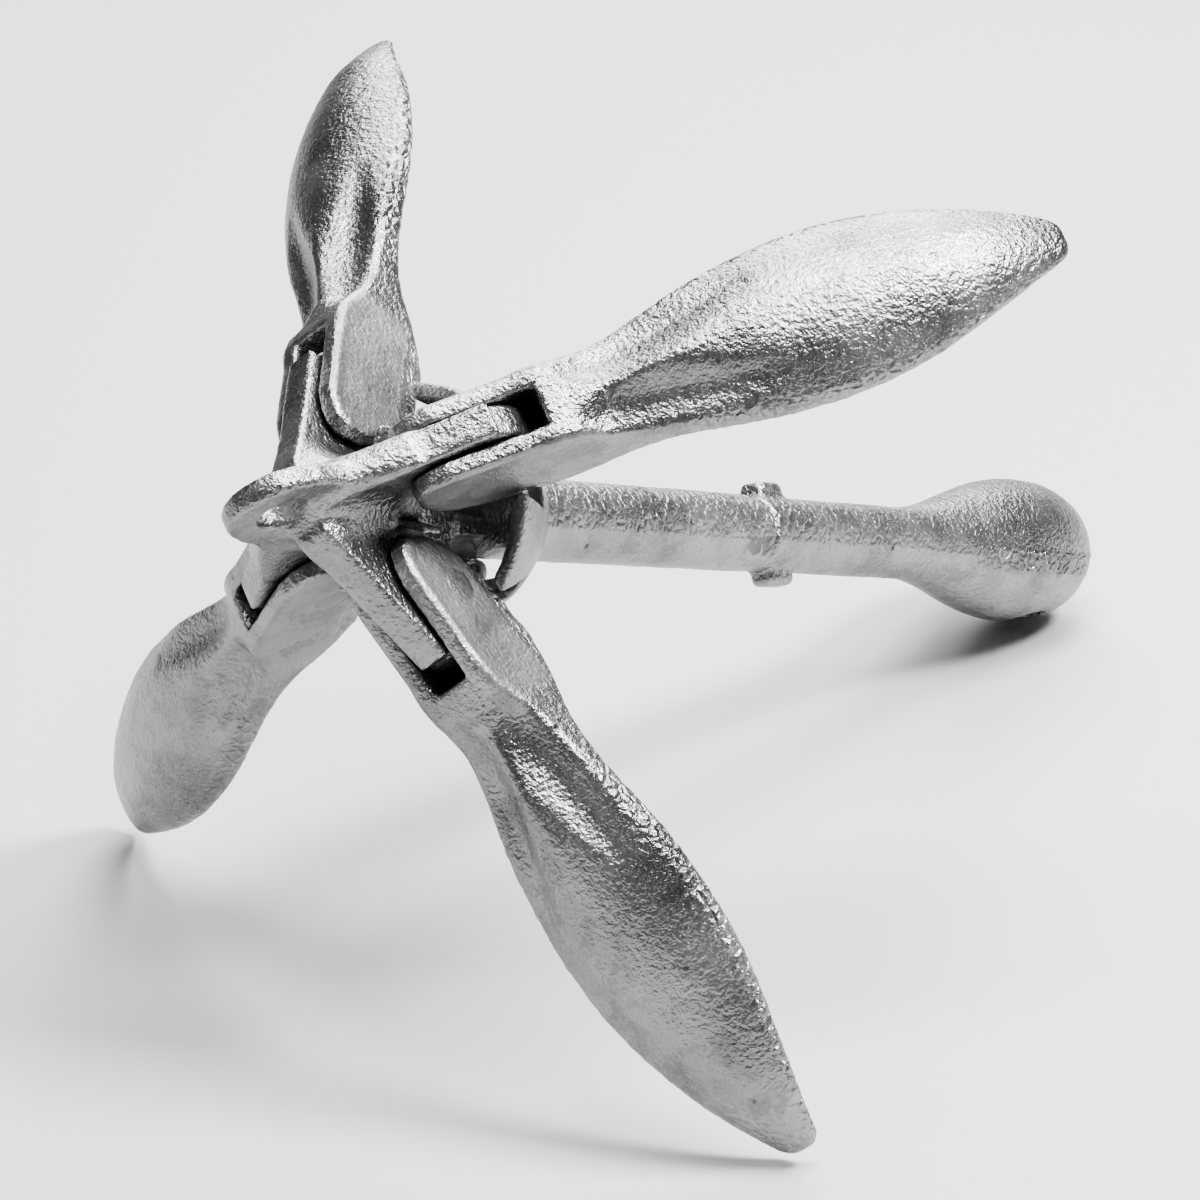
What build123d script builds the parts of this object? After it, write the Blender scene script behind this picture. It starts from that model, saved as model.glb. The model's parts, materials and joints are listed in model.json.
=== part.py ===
"""Folding grapnel anchor in cast iron: crown with lower shank, head casting, sliding collar, four flukes.

The pieces are drawn in the anchor's own frame: the shank runs up +Z from crown to head, and the four
fluke pivots lie on the plane z = 0. The finished anchor is then laid down as it rests on a deck, on the
tips of two flukes and the round head, with the origin under the middle of its bounding box.
All lengths are in millimetres and all angles in degrees.
"""
from build123d import *
from math import asin, cos, sin
import os

# Shank, in two castings that meet in a spigot just below the locking lugs.
LOWER_SHANK_RADIUS = 9.8
UPPER_SHANK_RADIUS = 9.6
SHANK_JOINT_Z = 147.5
SPIGOT_RADIUS = 5.5
SPIGOT_LENGTH = 16.0
SPIGOT_END_GAP = 1.0

# Locking lugs, a pair on opposite sides of the head casting.
LUG_AZIMUTH = 20.0
LUG_WIDTH = 7.0
LUG_REACH = 13.3
LUG_BOTTOM_Z = 151.2
LUG_TOP_Z = 162.2

# Round head with the rode eye through it, in line with the lugs.
NECK_START_Z = 222.0
NECK_MIDDLE_RADIUS = 13.8
NECK_MIDDLE_Z = 248.0
HEAD_RADIUS = 20.3
HEAD_WIDEST_Z = 281.0
HEAD_CONTACT_Z = 286.0
HEAD_SHOULDER_RADIUS = 14.0
HEAD_SHOULDER_Z = 307.5
HEAD_END_FLAT = 4.0
HEAD_END_Z = 313.0
RODE_EYE_RADIUS = 5.5
RODE_EYE_Z = 285.0
RODE_EYE_LIP = 1.6

# Crown: hub, four flat arms that carry the flukes, and the trip-line eye in the plane of arms 2 and 4.
HUB_RADIUS = 10.8
HUB_BOTTOM_RADIUS = 6.8
HUB_BOTTOM_Z = -29.0
HUB_CORNER_Z = -24.0
HUB_SHOULDER_Z = 8.0
HUB_TOP_Z = 11.5
ARM_THICKNESS = 8.0
ARM_CORNER_R = 39.6
ARM_CORNER_Z = -8.4
ARM_FACE_INNER_R = 20.0
ARM_FACE_INNER_Z = -23.4
ARM_FOOT_R = 8.64
ARM_FOOT_Z = -33.0
ARM_ROOT_Z = 9.5
ARM_END_RADIUS = 15.6
EYE_PLATE_THICKNESS = 5.6
EYE_PLATE_Z = -39.2
EYE_PLATE_END_RADIUS = 12.6
EYE_PLATE_WAIST = (15.6, -29.5)
EYE_PLATE_ROOT = (26.0, -17.8)
TRIP_EYE_RADIUS = 5.75
TRIP_EYE_LIP = 0.8

# Small nibs on the hub between the arms, and the bosses on the foot of the shank under the collar.
NIB_AZIMUTHS = [45.0, 135.0, 225.0, 315.0]
NIB_REACH = 19.0
NIB_THICKNESS = 1.4
NIB_BOTTOM_Z = -11.0
NIB_TOP_Z = -5.0
FOOT_BOSS_AZIMUTHS = [135.0, 315.0]
FOOT_BOSS_WIDTH = 4.2
FOOT_BOSS_REACH = 12.3
FOOT_BOSS_BOTTOM_Z = 10.0
FOOT_BOSS_TOP_Z = 21.0

# Fluke pivots.
PIVOT_RADIUS = 24.2
RIVET_RADIUS = 4.5
RIVET_RUNNING_GAP = 0.10
RIVET_HEAD_RADIUS = 6.0
RIVET_HEAD_DEPTH = 1.5

# Fluke: a two-eared fork and a spoon-shaped blade, drawn with s along the fluke from the pivot and
# t square to it, positive towards the shank when the fluke is folded.
FORK_HALF_WIDTH = 9.2
SLOT_HALF_WIDTH = 4.4
SLOT_END_S = 17.1
WEB_START_S = 13.0
WEB_BORE_RADIUS = 16.4
FORK_CROWN_T = -13.8
FORK_SHANK_T = 13.5
NOSE_S = -15.8
NOSE_CORNER_CROWN = (-11.5, -12.4)
NOSE_CORNER_SHANK = (-11.0, 3.5)
CROWN_FLAT_START_S = -7.0
HEEL = (2.0, 11.8)
SHANK_FLAT_START_S = 8.0
SHANK_FLAT_END_S = 19.1
OPEN_ANGLE = 32.6
FLUKE_SETTLE = [4.0, 10.0, -11.0, -3.0]
FOLDED_ANGLE = 90.5
FLUKE_LENGTH = 147.0

# Blade stations: s, half width, rim t, rim thickness, belly depth under the rim, dish depth.
BLADE_STATIONS = [
    (26.0, 10.3, 9.6, 19.5, 21.6, 0.6),
    (39.0, 12.6, 1.6, 10.5, 14.2, 1.4),
    (54.0, 16.2, -2.6, 7.0, 13.2, 3.4),
    (70.0, 19.4, -4.2, 5.2, 13.2, 4.6),
    (88.0, 20.4, -5.6, 4.6, 12.3, 4.8),
    (106.0, 18.2, -6.6, 4.0, 10.5, 4.0),
    (124.0, 12.8, -6.6, 3.6, 7.9, 2.6),
    (138.0, 7.9, -4.6, 3.2, 5.4, 1.2),
    (FLUKE_LENGTH, 4.6, -1.8, 2.8, 3.6, 0.3),
]

# Locking collar: a bell that slides on the shank, mouth towards the crown, notched for the flukes.
COLLAR_MOUTH_Z = 10.0
COLLAR_TOP_Z = 41.0
COLLAR_MOUTH_RADIUS = 29.5
COLLAR_SHOULDER_RADIUS = 24.4
COLLAR_SHOULDER_Z = 25.0
COLLAR_TOP_RADIUS = 14.0
COLLAR_WALL = 3.4
COLLAR_BORE_RADIUS = 10.4
COLLAR_NECK_LENGTH = 8.0
COLLAR_MOUTH_CHAMFER = 2.2
COLLAR_NOTCH_WIDTH = 20.6
COLLAR_NOTCH_TOP_Z = 24.5
KEYWAY_WIDTH = 9.0
KEYWAY_REACH = 14.2
COLLAR_TRAVEL = 150.0

# How far a cutting shape reaches: past an open face, and through everything on one side.
CUT_OVERRUN = 1.0
CUT_REACH = 40.0


def wedge(reach, width, bottom, top, azimuth):
    """A bar from the shank axis outwards, at the given azimuth."""
    bar = Pos(reach / 2, 0, (bottom + top) / 2) * Box(reach, width, top - bottom)
    return Rot(0, 0, azimuth) * bar


def side_plate(outline, thickness):
    """A flat plate in the XZ plane, centred on it, from an outline drawn in XY."""
    flat = extrude(outline, amount=thickness / 2, both=True)
    return Rot(90, 0, 0) * flat


def turned(outline):
    """A solid of revolution about the shank axis, from an outline drawn in XY with X as the radius."""
    return revolve(Rot(90, 0, 0) * outline, axis=Axis.Z)


def cross_hole(radius, z, half_wall, lip, azimuth):
    """A hole square to the shank with a widened mouth at each end of its wall."""
    hole = Rot(0, 90, 0) * Cylinder(radius, 4 * half_wall)
    mouth = Cone(radius, radius + 2 * lip, 2 * lip)
    for turn in (90, -90):
        hole += Rot(0, turn, 0) * Pos(0, 0, half_wall) * mouth
    return Rot(0, 0, azimuth) * Pos(0, 0, z) * hole


def arm_pair_outline():
    """Outline of two opposite arms in their own plane: crown faces and rounded ends."""
    with BuildSketch() as outline:
        for side in (1, -1):
            with BuildLine():
                Polyline(
                    (0, ARM_FOOT_Z),
                    (side * ARM_FOOT_R, ARM_FOOT_Z),
                    (side * ARM_FACE_INNER_R, ARM_FACE_INNER_Z),
                    (side * ARM_CORNER_R, ARM_CORNER_Z),
                    (side * PIVOT_RADIUS, 0),
                    (side * PIVOT_RADIUS, ARM_ROOT_Z),
                    (0, ARM_ROOT_Z),
                    close=True,
                )
            make_face()
            with Locations((side * PIVOT_RADIUS, 0)):
                Circle(ARM_END_RADIUS)
    return outline.sketch


def eye_plate_outline():
    """Outline of the trip-line eye: a round end that flows out into the crown faces of two arms."""
    end = (EYE_PLATE_END_RADIUS, EYE_PLATE_Z)
    with BuildSketch() as outline:
        with BuildLine():
            right = Spline([end, EYE_PLATE_WAIST, EYE_PLATE_ROOT], tangents=[(0, 1), (0.8, 0.6)])
            left = mirror(right, about=Plane.YZ)
            Line(right @ 1, left @ 1)
            ThreePointArc(right @ 0, (0, EYE_PLATE_Z - EYE_PLATE_END_RADIUS), left @ 0)
        make_face()
    return outline.sketch


def make_crown():
    """Crown, arms, trip-line eye and lower shank, cast in one."""
    with BuildSketch() as core:
        with BuildLine():
            Polyline(
                (0, HUB_BOTTOM_Z),
                (HUB_BOTTOM_RADIUS, HUB_BOTTOM_Z),
                (HUB_RADIUS, HUB_CORNER_Z),
                (HUB_RADIUS, HUB_SHOULDER_Z),
                (LOWER_SHANK_RADIUS, HUB_TOP_Z),
                (LOWER_SHANK_RADIUS, SHANK_JOINT_Z),
                (0, SHANK_JOINT_Z),
                close=True,
            )
        make_face()
    crown = turned(core.sketch)
    arms = side_plate(arm_pair_outline(), ARM_THICKNESS)
    crown += arms
    crown += Rot(0, 0, 90) * arms
    crown += Rot(0, 0, 90) * side_plate(eye_plate_outline(), EYE_PLATE_THICKNESS)
    for azimuth in NIB_AZIMUTHS:
        crown += wedge(NIB_REACH, NIB_THICKNESS, NIB_BOTTOM_Z, NIB_TOP_Z, azimuth)
    for azimuth in FOOT_BOSS_AZIMUTHS:
        crown += wedge(FOOT_BOSS_REACH, FOOT_BOSS_WIDTH, FOOT_BOSS_BOTTOM_Z, FOOT_BOSS_TOP_Z, azimuth)
    crown -= cross_hole(TRIP_EYE_RADIUS, EYE_PLATE_Z, EYE_PLATE_THICKNESS / 2, TRIP_EYE_LIP, 0)
    arm_hole = Rot(90, 0, 0) * Cylinder(RIVET_RADIUS + RIVET_RUNNING_GAP, 2 * ARM_THICKNESS)
    for quarter in range(4):
        crown -= Rot(0, 0, 90 * quarter) * Pos(PIVOT_RADIUS, 0, 0) * arm_hole
    socket_depth = SPIGOT_LENGTH + SPIGOT_END_GAP
    crown -= Pos(0, 0, SHANK_JOINT_Z - socket_depth / 2) * Cylinder(SPIGOT_RADIUS, socket_depth)
    return crown


def make_head():
    """Upper shank with spigot, locking lugs and the round head with its rode eye."""
    with BuildSketch() as profile:
        with BuildLine():
            Line((0, SHANK_JOINT_Z), (UPPER_SHANK_RADIUS, SHANK_JOINT_Z))
            Line((UPPER_SHANK_RADIUS, SHANK_JOINT_Z), (UPPER_SHANK_RADIUS, NECK_START_Z))
            Spline(
                [
                    (UPPER_SHANK_RADIUS, NECK_START_Z),
                    (NECK_MIDDLE_RADIUS, NECK_MIDDLE_Z),
                    (HEAD_RADIUS, HEAD_WIDEST_Z),
                    (HEAD_SHOULDER_RADIUS, HEAD_SHOULDER_Z),
                    (HEAD_END_FLAT, HEAD_END_Z),
                ],
                tangents=[(0, 1), (-1, 0.1)],
            )
            Line((HEAD_END_FLAT, HEAD_END_Z), (0, HEAD_END_Z))
            Line((0, HEAD_END_Z), (0, SHANK_JOINT_Z))
        make_face()
    head = turned(profile.sketch)
    head += Pos(0, 0, SHANK_JOINT_Z - SPIGOT_LENGTH / 2) * Cylinder(SPIGOT_RADIUS, SPIGOT_LENGTH)
    for azimuth in (LUG_AZIMUTH, LUG_AZIMUTH + 180):
        head += wedge(LUG_REACH, LUG_WIDTH, LUG_BOTTOM_Z, LUG_TOP_Z, azimuth)
    head -= cross_hole(RODE_EYE_RADIUS, RODE_EYE_Z, HEAD_RADIUS - RODE_EYE_LIP, RODE_EYE_LIP, LUG_AZIMUTH)
    return head


def make_collar():
    """Bell-shaped locking collar: a notch over each fluke and two keyways that pass the lugs."""
    neck = COLLAR_TOP_Z - COLLAR_NECK_LENGTH
    inner_mouth = COLLAR_MOUTH_RADIUS - COLLAR_WALL
    lip = inner_mouth + COLLAR_WALL / 2
    with BuildSketch() as profile:
        with BuildLine():
            outer = Spline(
                [
                    (COLLAR_MOUTH_RADIUS, COLLAR_MOUTH_Z),
                    (COLLAR_SHOULDER_RADIUS, COLLAR_SHOULDER_Z),
                    (COLLAR_TOP_RADIUS, COLLAR_TOP_Z),
                ],
                tangents=[(-0.05, 1), (-0.6, 1)],
            )
            Line(outer @ 1, (COLLAR_BORE_RADIUS, COLLAR_TOP_Z))
            Line((COLLAR_BORE_RADIUS, COLLAR_TOP_Z), (COLLAR_BORE_RADIUS, neck))
            inner = Spline(
                [
                    (COLLAR_BORE_RADIUS, neck),
                    (COLLAR_SHOULDER_RADIUS - COLLAR_WALL, COLLAR_SHOULDER_Z - COLLAR_WALL / 2),
                    (inner_mouth, COLLAR_MOUTH_Z + COLLAR_MOUTH_CHAMFER),
                ],
                tangents=[(1, -0.25), (0.05, -1)],
            )
            Line(inner @ 1, (lip, COLLAR_MOUTH_Z))
            Line((lip, COLLAR_MOUTH_Z), outer @ 0)
        make_face()
    collar = turned(profile.sketch)
    for quarter in range(4):
        azimuth = 90 * quarter
        collar -= wedge(CUT_REACH, COLLAR_NOTCH_WIDTH, COLLAR_MOUTH_Z - CUT_OVERRUN, COLLAR_NOTCH_TOP_Z, azimuth)
    for azimuth in (LUG_AZIMUTH, LUG_AZIMUTH + 180):
        collar -= wedge(KEYWAY_REACH, KEYWAY_WIDTH, COLLAR_MOUTH_Z, COLLAR_TOP_Z + CUT_OVERRUN, azimuth)
    return collar


def blade_section(station):
    """One cross-section of the blade: dished towards the shank, crowned towards the crown."""
    s, half_width, rim_t, rim, belly, dish = station
    with BuildSketch(Plane(origin=(s, 0, 0), x_dir=(0, 1, 0), z_dir=(1, 0, 0))) as section:
        with BuildLine():
            ThreePointArc((-half_width, rim_t), (0, rim_t - dish), (half_width, rim_t))
            Line((half_width, rim_t), (half_width, rim_t - rim))
            ThreePointArc((half_width, rim_t - rim), (0, rim_t - belly), (-half_width, rim_t - rim))
            Line((-half_width, rim_t - rim), (-half_width, rim_t))
        make_face()
    return section.sketch


def fork_outline():
    """Side view of the fork, from the rounded nose of the ears to the neck of the blade."""
    neck_s, _, neck_t, _, neck_belly, _ = BLADE_STATIONS[0]
    with BuildSketch() as outline:
        with BuildLine():
            Polyline(
                NOSE_CORNER_CROWN,
                (CROWN_FLAT_START_S, FORK_CROWN_T),
                (SLOT_END_S, FORK_CROWN_T),
                (neck_s, neck_t - neck_belly),
                (neck_s, neck_t),
                (SHANK_FLAT_END_S, FORK_SHANK_T),
                (SHANK_FLAT_START_S, FORK_SHANK_T),
                HEEL,
                NOSE_CORNER_SHANK,
            )
            ThreePointArc(NOSE_CORNER_SHANK, (NOSE_S, FORK_CROWN_T / 2), NOSE_CORNER_CROWN)
        make_face()
    return outline.sketch


def slot_outline():
    """Side view of the slot between the ears, open towards the crown and closed by the web."""
    with BuildSketch() as slot:
        with Locations((WEB_START_S - CUT_REACH, 0)):
            Rectangle(2 * CUT_REACH, 2 * CUT_REACH)
        with Locations((SLOT_END_S - CUT_REACH, -CUT_REACH)):
            Rectangle(2 * CUT_REACH, 2 * CUT_REACH)
        Circle(WEB_BORE_RADIUS)
    return slot.sketch


def flush_rivet():
    """Solid rivet with a countersunk head flush with each ear; also the shape of its hole."""
    rivet = Rot(90, 0, 0) * Cylinder(RIVET_RADIUS, 2 * FORK_HALF_WIDTH)
    head = Cone(RIVET_RADIUS, RIVET_HEAD_RADIUS, RIVET_HEAD_DEPTH)
    for turn in (90, -90):
        rivet += Rot(turn, 0, 0) * Pos(0, 0, FORK_HALF_WIDTH - RIVET_HEAD_DEPTH / 2) * head
    return rivet


def make_fluke():
    """One fluke in its own frame: pivot at the origin, s along +X, t along +Z."""
    fluke = side_plate(fork_outline(), 2 * FORK_HALF_WIDTH)
    fluke -= side_plate(slot_outline(), 2 * SLOT_HALF_WIDTH)
    fluke += loft([blade_section(station) for station in BLADE_STATIONS])
    return fluke - flush_rivet()


def fluke_place(number):
    """Where fluke 1, 2, 3 or 4 and its rivet sit on the crown, at their rest angle."""
    angle = OPEN_ANGLE + FLUKE_SETTLE[number - 1]
    return Rot(0, 0, 90 * (number - 1)) * Pos(PIVOT_RADIUS, 0, 0) * Rot(0, -angle, 0)


def resting_plane():
    """The deck under the anchor: it touches the tips of flukes 3 and 4 and the round head."""
    tip = Vector(FLUKE_LENGTH, 0, 0)
    first = (fluke_place(3) * Pos(tip)).position
    second = (fluke_place(4) * Pos(tip)).position
    head = Vector(0, 0, HEAD_CONTACT_Z)
    along = (second - first).normalized()
    reach = head - first
    reach -= along * reach.dot(along)
    lean = asin(HEAD_RADIUS / reach.length)
    across = along.cross(reach.normalized())
    up = across * cos(lean) + reach.normalized() * sin(lean)
    if up.dot(Vector(1, 1, 0)) < 0:
        up = across * -cos(lean) + reach.normalized() * sin(lean)
    forward = Vector(0, 0, 1) - up * up.Z
    return Plane(origin=first, x_dir=forward, z_dir=up)


def upright_nodes():
    """Every piece of the anchor in the anchor's own frame."""
    nodes = {"crown_casting": make_crown(), "head_casting": make_head(), "locking_collar": make_collar()}
    fluke = make_fluke()
    rivet = flush_rivet()
    for number in range(1, 5):
        nodes[f"fluke_{number}"] = fluke_place(number) * fluke
        nodes[f"pivot_rivet_{number}"] = fluke_place(number) * rivet
    return nodes


def lay_down(nodes):
    """The placement that puts the anchor on the deck with the origin under the middle of its box."""
    turn = resting_plane().location.inverse()
    boxes = [(turn * solid).bounding_box() for solid in nodes.values()]
    middle_x = (min(box.min.X for box in boxes) + max(box.max.X for box in boxes)) / 2
    middle_y = (min(box.min.Y for box in boxes) + max(box.max.Y for box in boxes)) / 2
    return Pos(-middle_x, -middle_y, -min(box.min.Z for box in boxes)) * turn


def motion_data(place):
    """Pivots, slide axis and ranges of the joints after the anchor is laid down."""
    lines = [f"collar_slide range 0 to {COLLAR_TRAVEL} mm, pose {place * Pos(0, 0, COLLAR_TOP_Z)}"]
    for number in range(1, 5):
        closing = FOLDED_ANGLE - OPEN_ANGLE - FLUKE_SETTLE[number - 1]
        pose = place * Rot(0, 0, 90 * (number - 1)) * Pos(PIVOT_RADIUS, 0, 0)
        lines.append(f"fluke_{number} range 0 to {closing} degrees about -Y of pose {pose}")
    return lines


def main():
    nodes = upright_nodes()
    place = lay_down(nodes)
    os.makedirs("parts", exist_ok=True)
    for name, solid in nodes.items():
        export_step(place * solid, f"parts/{name}.step")
    print("\n".join(motion_data(place)))


main()
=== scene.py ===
"""Looks of the folding grapnel anchor: rough iron castings under hot-dip zinc.

Every casting is drawn as a field of distances to its surface, in millimetres, so that the walls meet in
cast fillets and the edges are rounded, and the surface is then netted into one closed mesh.
"""
import bpy
import json
import numpy as np
from math import cos, pi, radians, sin
from mathutils import Matrix, Vector, noise


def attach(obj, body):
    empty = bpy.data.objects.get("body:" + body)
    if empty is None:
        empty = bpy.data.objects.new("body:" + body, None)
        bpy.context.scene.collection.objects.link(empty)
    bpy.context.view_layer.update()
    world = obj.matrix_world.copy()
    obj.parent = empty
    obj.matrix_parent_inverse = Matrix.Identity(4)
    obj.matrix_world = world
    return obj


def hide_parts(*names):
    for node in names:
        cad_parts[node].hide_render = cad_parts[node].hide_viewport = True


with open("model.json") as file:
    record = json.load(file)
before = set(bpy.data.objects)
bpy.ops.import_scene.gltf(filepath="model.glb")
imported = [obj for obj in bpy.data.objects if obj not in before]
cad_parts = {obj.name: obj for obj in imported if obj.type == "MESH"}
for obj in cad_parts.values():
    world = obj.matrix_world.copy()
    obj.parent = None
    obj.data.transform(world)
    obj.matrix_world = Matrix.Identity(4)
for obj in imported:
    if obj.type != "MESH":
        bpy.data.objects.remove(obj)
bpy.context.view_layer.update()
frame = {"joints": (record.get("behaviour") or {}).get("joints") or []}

MM = 0.001

# Spacing of the grids that the fields are drawn on.
STEP = 0.72
COLLAR_STEP = STEP * 0.8
RIVET_STEP = 0.36

# Shank and head, along the anchor's own axis with z = 0 on the plane of the fluke pivots.
LOWER_SHANK_RADIUS = 9.75
UPPER_SHANK_RADIUS = 9.55
SHANK_JOINT_Z = 147.5
LUG_AZIMUTH = 20.0
LUG_HALF_WIDTH = 3.5
LUG_REACH = 13.3
LUG_Z = (151.2, 162.2)
JOINT_GROOVE_DEPTH = 0.9
JOINT_GROOVE_WIDTH = 0.9
JOINT_LAP = 0.1
NECK_START_Z = 219.0
HEAD_RADIUS = 20.0
HEAD_WIDEST_Z = 281.0
HEAD_END_Z = 313.0
HEAD_END_CURVE = (2.3, 2.1)
RODE_EYE_RADIUS = 5.5
RODE_EYE_Z = 285.0

# Parting line of the mould: flash along the shank, and a strip of two fine ribs on the head.
PARTING_AZIMUTH = 132.0
FLASH_HEIGHT = 0.3
FLASH_WIDTH = 0.7
HEAD_FLASH_HEIGHT = 0.35
HEAD_FLASH_WIDTH = 0.6
STRIP_START_Z = (236.0, 262.0)
STRIP_HALF_WIDTH = 2.7
STRIP_RIB_HEIGHT = 0.35
STRIP_RIB_WIDTH = 0.7

# Crown, with its nibs between the arms and the bosses at the foot of the shank.
PIVOT_RADIUS = 24.2
HUB_RADIUS = 10.6
HUB_Z = (-29.0, 11.5)
NIB_AZIMUTHS = (45, 135, 225, 315)
NIB_REACH = 19.0
NIB_HALF_THICKNESS = 0.75
NIB_Z = (-11.0, -5.0)
BOSS_AZIMUTHS = (135, 315)
BOSS_REACH = 12.3
BOSS_HALF_WIDTH = 2.1
BOSS_Z = (10.0, 21.0)
ARM_HALF_THICKNESS = 3.9
ARM_END_RADIUS = 15.6
ARM_CORNER = (39.6, -8.4)
ARM_FACE_INNER = (20.0, -23.4)
ARM_FOOT = (8.48, -33.0)
ARM_ROOT_Z = 9.5
ARM_FACE_MIDDLE = (31.0, -16.0)
ARM_FACE_SLOPE = 0.77
ARM_EDGE_SWELL = 0.25
ARM_EDGE_SWELL_WIDTH = 5.0
PAST_AXIS = -1.0
EYE_Z = -39.2
EYE_PLATE_RADIUS = 12.6
EYE_PLATE_HALF_THICKNESS = 2.8
EYE_PLATE_SIDE = [(12.4, EYE_Z), (14.6, -31.5), (24.5, -20.5), (20.0, -14.0)]
TRIP_EYE_RADIUS = 5.75

# Locking collar.
COLLAR_Z = (10.0, 41.0)
COLLAR_MOUTH_RADIUS = 29.5
BELL_LEAN = 0.34
BELL_CURVE = 0.01
BELL_SHOULDER_Z = 25.0
BELL_SLANT = 0.85
COLLAR_WALL = 4.1
COLLAR_BORE_RADIUS = 10.4
NOTCH_HALF_WIDTH = 10.3
NOTCH_TOP_Z = 24.5
NOTCH_INNER_RADIUS = 12.0
KEYWAY_REACH = 14.2
KEYWAY_HALF_WIDTH = 4.5

# Flukes: s runs along the fluke from its pivot, t is square to it and positive towards the shank.
FOLDED_ANGLE = 90.5
FORK_HALF_WIDTH = 9.2
SLOT_HALF_WIDTH = 4.6
FORK_SHANK_T = 13.2
SLOT_END_S = 17.1
WEB_START_S = 13.0
WEB_BORE_RADIUS = 16.4
FORK_SIDE = [
    (-11.5, -12.4), (-7.0, -13.8), (18.0, -13.6), (28.0, -11.6), (33.0, 4.0), (27.0, 9.4), (19.1, 13.5),
    (8.0, 13.5), (2.0, 11.8), (-6.0, 7.4), (-11.0, 3.5), (-14.2, -0.5), (-15.8, -6.9), (-14.6, -10.2),
]
EAR_LEAN = 0.9
EAR_LEAN_T = (5.0, 13.0)
EAR_EDGE_SWELL = 0.35
EAR_EDGE_T = -12.6
EAR_EDGE_WIDTH = 1.6
FLUKE_LENGTH = 147.0
BLADE_START_S = 14.0
BLADE_END_GAP = 0.3
EDGE_THICKNESS = 3.2
SWELL_POWER = 2.2
PAST_RIM = 1.15

# What brings a field measured square to a slanted wall back to a true distance.
BELLY_SLANT = 0.92
SIDE_SLANT = 0.95

RIDGE_S = 44.0
RIDGE_HEIGHT = 1.0
RIDGE_LENGTH = 14.0
RIDGE_WIDTH = 2.6

# The hollows beside the ridge: where each starts and ends in s, y and t, and how far it swells.
HOLLOW_S = (27.0, 68.0)
HOLLOW_Y = (7.0, 12.5)
HOLLOW_T = (-13.2, -16.6)
HOLLOW_GIRTH = 1.6
HOLLOW_SWELL = 3.8
HOLLOW_SKEW = 0.7

# How far each blade's tip is bent sideways and towards the shank, as cast.
TIP_BEND = [(-4.5, 4.5), (1.5, 1.5), (0.0, 0.0), (2.0, 0.0)]
TIP_BEND_S = (20.0, 200.0)

# Rivets: their ends stand a little proud of the ears, whose skin of zinc covers the rivets' rims.
RIVET_RADIUS = 4.5
RIVET_HOLE_RADIUS = 4.45
RUNNING_GAP = 0.1
RIVET_SKIN_Y = 8.6
RIVET_PROUD = 0.12
RIVET_DOME = 0.012

# Relief of the surface: broad swells, grain, wrinkled zinc and scars, each with its size and height.
RELIEF = 0.22
RIVET_RELIEF = 0.15
SWELL_SIZE = 9.0
SWELL_SHARE = 0.6
GRAIN_SIZE = 2.5
GRAIN_SHARE = 0.4
WRINKLE_SIZE = 2.4
WRINKLE_HEIGHT = 0.35
SCAR_SIZE = 1.8
SCAR_DEPTH = 0.5
SCAR_PATCHES = (-0.35, 0.0)
FETTLING = 0.7
HOLLOW_GAIN = 3
SEED_SHIFT = (37.1, 11.7, 5.3)
SMOOTHING = 0.5
PUSH_BACK = -0.52

# Where the zinc is wrinkled, torn or dressed smooth: each pair is where it starts and where it is full.
SHANK_WRINKLE = 0.45
SHANK_WRINKLE_Z = (30, 50)
HEAD_WRINKLE = 0.4
HEAD_WRINKLE_Z = (232, 215)
ACROSS_PARTING = (1.0, -1.0)
HEAD_STRIP_Z = (238, 258)
HEAD_STRIP_ACROSS = (3.4, 2.4)
BLADE_RIM_WRINKLE = 0.8
BLADE_RIM_OUT = (0.86, 0.97)
BLADE_RIM_S = (40, 55)
FORK_TOP_WRINKLE = 0.6
FORK_TOP_T = (8.0, 9.5)
FORK_TOP_S = (34, 26)
DRESSED_Y = (8.5, 9.0)
DRESSED_T = (7.5, 5.5)
DRESSED_S = (30, 26)
SCAR_Z = (130, 139)
SCAR_MIDDLE = 1.5
SCAR_EDGE = (3.2, 1.8)

# Greys of the zinc, dark to light.
ZINC_IN_PITS = (0.03, 0.03, 0.032, 1)
# Painted shade, laid into the hollows of the castings.
ZINC_PAINTED_SHADE = (0.07, 0.07, 0.073, 1)
ZINC_SPECK = (0.17, 0.17, 0.175, 1)
ZINC_DARK = (0.25, 0.252, 0.255, 1)
ZINC_LIGHT = (0.39, 0.392, 0.396, 1)
ZINC_FLAKE = (0.55, 0.55, 0.555, 1)
ZINC_ON_EDGES = (0.62, 0.62, 0.625, 1)
BUMP_DISTANCE = 0.00052

# Camera and stage.
CAMERA_AZIMUTH = -52.2
CAMERA_ELEVATION = 25.3
CAMERA_DISTANCE = 1.0024
CAMERA_AIM = (-0.0267, 0.0169, 0.0675)
CAMERA_LENS = 121.2
LIGHT_AIM = (0, 0, 0.09)
FLOOR_HALF = 4.0
FLOOR_GREY = (0.62, 0.62, 0.62, 1)
FLOOR_ROUGHNESS = 0.9
WORLD_GREY = (0.55, 0.56, 0.57, 1)
WORLD_STRENGTH = 0.16


# ---------------------------------------------------------------- the anchor's own frames

JOINTS = {joint["name"]: joint for joint in frame["joints"]}
SHANK_AXIS = Vector(JOINTS["collar_slide"]["axis"]).normalized()
PIVOTS = [Vector(JOINTS[f"fluke_{n}_hinge"]["pos_m"]) for n in range(1, 5)]
CROWN_CENTRE = sum(PIVOTS, Vector()) / 4


def basis(origin, x_axis, y_axis, z_axis):
    """The matrix that takes a drawing in millimetres to its place in the row frame, in metres."""
    turn = Matrix((x_axis, y_axis, z_axis)).transposed().to_4x4()
    return Matrix.Translation(origin) @ turn @ Matrix.Scale(MM, 4)


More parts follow.
